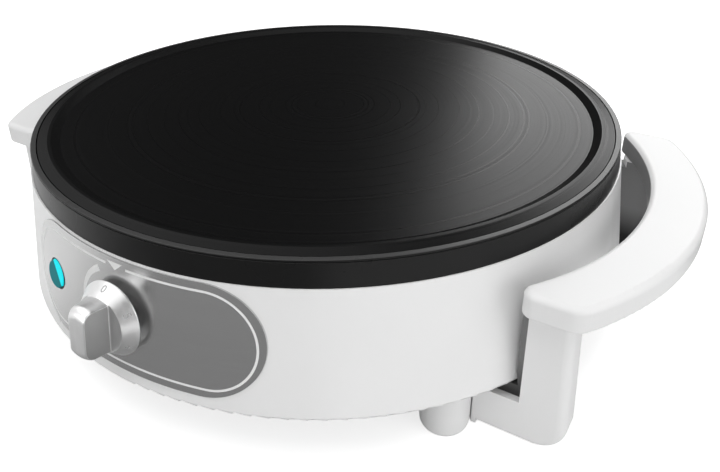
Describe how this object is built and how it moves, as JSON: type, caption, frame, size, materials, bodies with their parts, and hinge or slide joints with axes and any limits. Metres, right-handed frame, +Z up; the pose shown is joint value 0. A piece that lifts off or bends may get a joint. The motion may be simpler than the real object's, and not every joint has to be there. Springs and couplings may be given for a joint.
{
  "type": "electric crepe maker",
  "caption": "Countertop electric crepe maker: round hot plate in a collar, flared housing, front panel with turning dial and indicator lamp, peg feet, and a crescent grip on legs at each side.",
  "frame": {"origin": "on the table, under the middle of the bounding box", "axes": "+X through the right-hand grip as seen from the front, +Z up, the dial faces -Y"},
  "size_m": [0.381, 0.3368, 0.0973],
  "materials": {
    "aluminium_sheet": "plain",
    "black_base": "matte",
    "black_collar": "satin",
    "brass": "plain",
    "ceramic": "matte",
    "dark_plastic": "matte",
    "grey_core": "matte",
    "heater_steel": "matte",
    "knob_metal": "brushed",
    "lamp_glass": "clear",
    "lens": "gloss",
    "panel_metal": "brushed",
    "plate_nonstick": "black non-stick coating",
    "spring_steel": "plain",
    "steel": "plain",
    "white_enamel": "gloss",
    "white_plastic": "gloss",
    "wire_blue": "matte",
    "wire_brown": "matte"
  },
  "bodies": {
    "base": {"base_cover": "black_base", "base_screws": "steel", "bimetal_sensor": "brass", "bracket_screws": "steel", "control_panel": "panel_metal", "cord_gland": "dark_plastic", "element_terminals": "ceramic", "foot_screws": "steel", "fuse_clip": "steel", "gland_nut": "dark_plastic", "grip_screws": "steel", "heat_reflector": "aluminium_sheet", "heating_element": "heater_steel", "hot_plate": "plate_nonstick", "housing_shell": "white_enamel", "indicator_lens": "lens", "lamp_bezel": "black_base", "lamp_clip": "spring_steel", "lamp_wire": "wire_brown", "left_front_foot": "white_plastic", "left_front_leg": "white_plastic", "left_front_leg_core": "grey_core", "left_grip": "white_plastic", "left_rear_foot": "white_plastic", "left_rear_leg": "white_plastic", "left_rear_leg_core": "grey_core", "leg_screws": "steel", "live_wire": "wire_brown", "neon_lamp": "lamp_glass", "neutral_wire": "wire_blue", "plate_collar": "black_collar", "right_front_foot": "white_plastic", "right_front_leg": "white_plastic", "right_front_leg_core": "grey_core", "right_grip": "white_plastic", "right_rear_foot": "white_plastic", "right_rear_leg": "white_plastic", "right_rear_leg_core": "grey_core", "terminal_block": "ceramic", "terminal_screws": "brass", "thermal_fuse": "ceramic", "thermostat_body": "dark_plastic", "thermostat_bracket": "steel", "thermostat_bush": "brass", "thermostat_nut": "brass", "tie_rod_nuts": "steel", "tie_rods": "steel"},
    "dial": {"dial_knob": "knob_metal", "thermostat_spindle": "steel"},
    "pin": {"contact_pin": "ceramic"}
  },
  "joints": [
    {"name": "dial_turn", "type": "hinge", "parent": "base", "child": "dial", "pos_m": [0, -0.14844, 0.0598], "axis": [0, 0.9904, -0.1383], "range_deg": [0, 300]},
    {"name": "contact_slide", "type": "slide", "parent": "base", "child": "pin", "axis": [0, 0.9904, -0.1383], "range_m": [0, 0.00126]}
  ],
  "couplings": [
    {"joint": "contact_slide", "follows": "dial_turn", "m_per_rad": 0.00023873}
  ]
}
